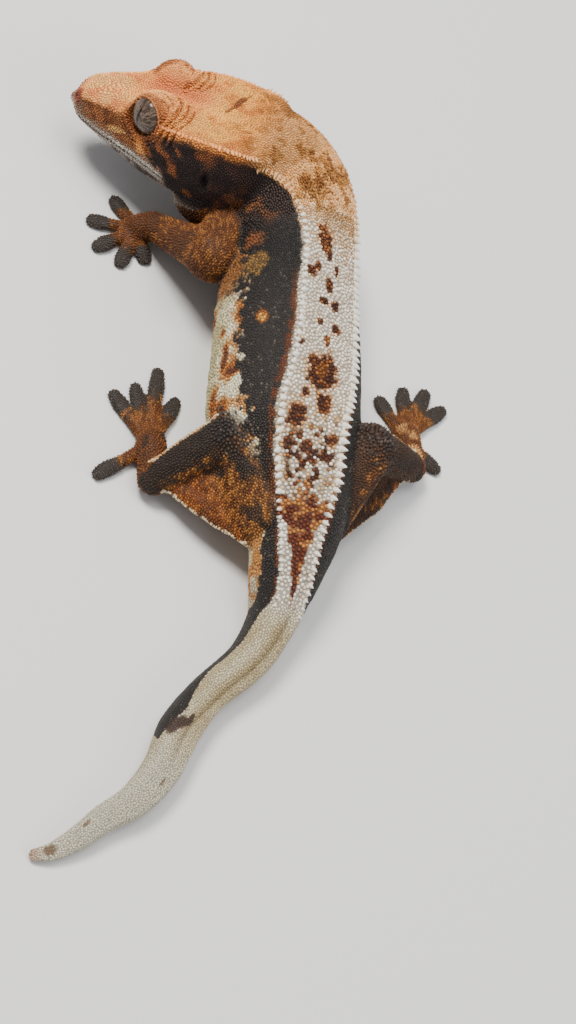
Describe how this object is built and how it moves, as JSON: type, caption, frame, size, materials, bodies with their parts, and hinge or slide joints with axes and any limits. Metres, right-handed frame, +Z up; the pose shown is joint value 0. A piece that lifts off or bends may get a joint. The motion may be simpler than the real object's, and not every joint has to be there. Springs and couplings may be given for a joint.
{
  "type": "crested gecko model",
  "caption": "Still life-size model of a crested gecko resting on the floor, its head turned to the left, crest spines along head and back, padded toes and the tail laid behind it.",
  "frame": {"origin": "on the floor that the toes and the tail rest on, under the middle of the outline seen from above", "axes": "+Z up from the floor, +Y along the trunk from the tail towards the neck, +X to the animal's right"},
  "size_m": [0.0724, 0.1404, 0.0259],
  "materials": {
    "head_skin": "matt orange-tan skin of fine granular scales",
    "body_skin": "matt cream and charcoal skin of bead-like scales with rust-brown blotches",
    "tail_skin": "matt cream skin of fine scales with charcoal patches",
    "leg_skin": "matt rust-brown and charcoal skin of granular scales, dark grey toe pads",
    "eye": "clear glossy cornea over a grey-brown iris with a slit pupil"
  },
  "bodies": {
    "root": {"head": "head_skin", "lower_jaw": "head_skin", "eye_left": "eye", "eye_right": "eye", "neck": "head_skin", "torso_front": "body_skin", "torso_rear": "body_skin", "tail_base": "tail_skin", "tail_middle": "tail_skin", "tail_tip": "tail_skin", "upper_arm_left": "leg_skin", "forearm_left": "leg_skin", "hand_left": "leg_skin", "thigh_left": "leg_skin", "shank_left": "leg_skin", "foot_left": "leg_skin", "upper_arm_right": "leg_skin", "forearm_right": "leg_skin", "hand_right": "leg_skin", "thigh_right": "leg_skin", "shank_right": "leg_skin", "foot_right": "leg_skin"}
  },
  "joints": []
}
